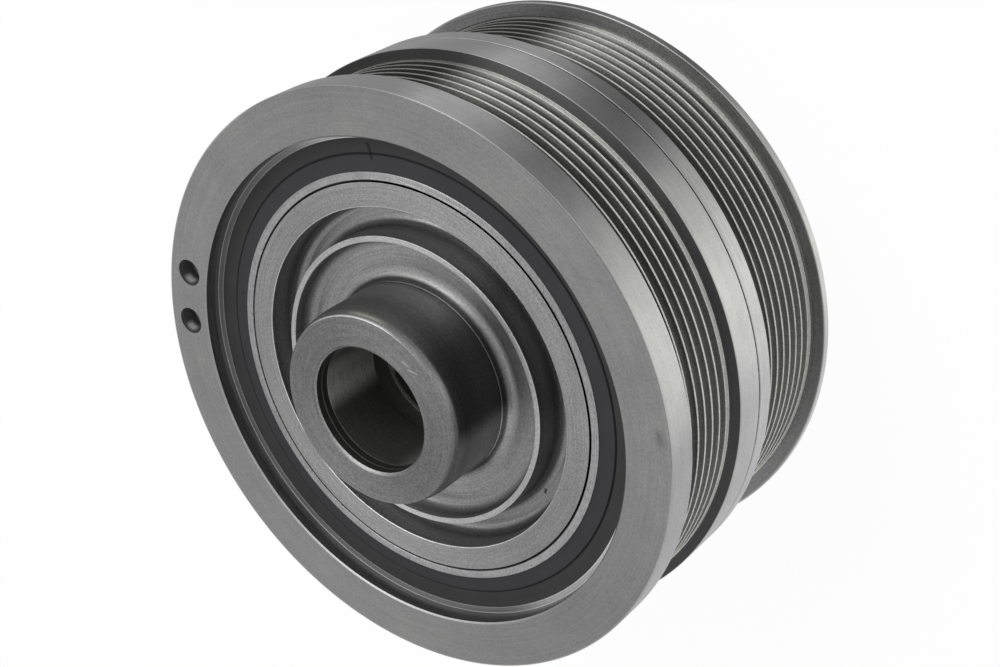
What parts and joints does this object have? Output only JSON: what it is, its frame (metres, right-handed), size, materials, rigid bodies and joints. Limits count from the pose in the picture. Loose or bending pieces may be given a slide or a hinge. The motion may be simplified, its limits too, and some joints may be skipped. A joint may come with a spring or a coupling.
{
  "type": "harmonic balancer",
  "caption": "Harmonic balancer of a car engine: a turned cast hub with a seal nose, a bonded rubber ring, an inertia ring and two poly-V belt tracks.",
  "frame": {"origin": "centre of the pulley rim's far end face, which the part stands on", "axes": "+Z along the crankshaft towards the engine, to the end of the nose"},
  "size_m": [0.1682, 0.1682, 0.0977],
  "materials": {
    "hub_iron": "machined",
    "sleeve_steel": "turned",
    "black_rubber": "matte",
    "ring_iron": "machined"
  },
  "bodies": {
    "root": {"hub": "hub_iron", "inner_sleeve": "sleeve_steel", "damper_rubber": "black_rubber", "inertia_ring": "ring_iron"}
  },
  "joints": []
}
